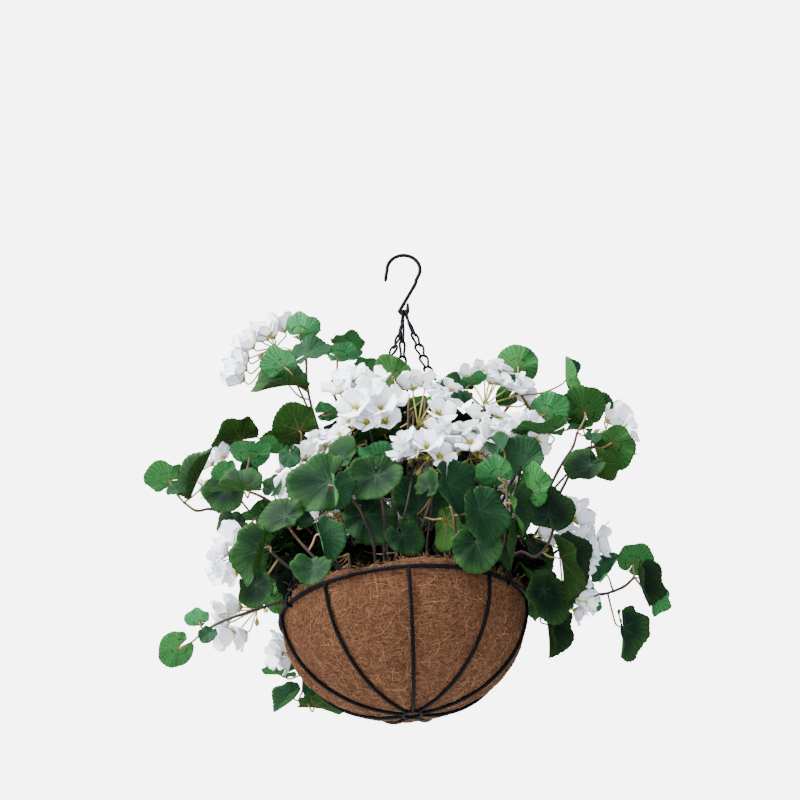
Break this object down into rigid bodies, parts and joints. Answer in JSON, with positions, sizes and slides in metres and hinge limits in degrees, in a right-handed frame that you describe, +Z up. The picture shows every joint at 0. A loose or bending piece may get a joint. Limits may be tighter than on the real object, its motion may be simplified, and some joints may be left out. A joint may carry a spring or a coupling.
{
  "type": "geranium hanging basket",
  "caption": "Round wire hanging basket with a coco-fibre liner, chains and a hook, filled with leafy stems and umbels of white geranium flowers.",
  "frame": {"origin": "the hook's seat: the inside top of its crook, where it hangs on a bar or nail", "axes": "+Z up, out of the hook's seat; -Y towards the viewer of the picture; +X to the viewer's right, along the plane of the hook"},
  "size_m": [0.6432, 0.4493, 0.6358],
  "materials": {
    "black_coated_steel": "satin black coating on round wire",
    "coco_fibre": "rough brown matted coconut fibre",
    "potting_soil": "matt dark crumbly soil",
    "leaf_green": "matt green, darker on the upper face",
    "petal_white": "matt cool white with a yellow eye"
  },
  "bodies": {
    "root": {"base_ring": "black_coated_steel", "bloom_centre": "petal_white", "bloom_far_left": "petal_white", "bloom_far_right": "petal_white", "bloom_left": "petal_white", "bloom_left_inner": "petal_white", "bloom_low_behind": "petal_white", "bloom_low_left": "petal_white", "bloom_rear_left": "petal_white", "bloom_rear_right": "petal_white", "bloom_right": "petal_white", "bloom_right_inner": "petal_white", "bloom_right_upper": "petal_white", "bloom_top": "petal_white", "bloom_top_front": "petal_white", "bloom_top_left": "petal_white", "bloom_top_right": "petal_white", "chain_back": "black_coated_steel", "chain_left": "black_coated_steel", "chain_right": "black_coated_steel", "coco_liner": "coco_fibre", "hook": "black_coated_steel", "rib_1": "black_coated_steel", "rib_2": "black_coated_steel", "rib_3": "black_coated_steel", "rib_4": "black_coated_steel", "rib_5": "black_coated_steel", "rib_6": "black_coated_steel", "rib_7": "black_coated_steel", "rib_8": "black_coated_steel", "rib_9": "black_coated_steel", "rim_ring": "black_coated_steel", "soil": "potting_soil", "spray_far_left": "leaf_green", "spray_far_right": "leaf_green", "spray_far_right_upper": "leaf_green", "spray_front_centre": "leaf_green", "spray_front_left": "leaf_green", "spray_front_middle": "leaf_green", "spray_front_right": "leaf_green", "spray_left_front": "leaf_green", "spray_left_lower": "leaf_green", "spray_left_middle": "leaf_green", "spray_left_upper": "leaf_green", "spray_low_behind": "leaf_green", "spray_low_left": "leaf_green", "spray_low_right": "leaf_green", "spray_rear_high": "leaf_green", "spray_rear_left": "leaf_green", "spray_rear_middle": "leaf_green", "spray_rear_right": "leaf_green", "spray_right_front": "leaf_green", "spray_right_lower": "leaf_green", "spray_right_middle": "leaf_green", "spray_right_side": "leaf_green", "spray_top_centre": "leaf_green", "spray_top_left": "leaf_green", "spray_top_middle": "leaf_green", "spray_top_right": "leaf_green", "spray_upper_right": "leaf_green"}
  },
  "joints": []
}
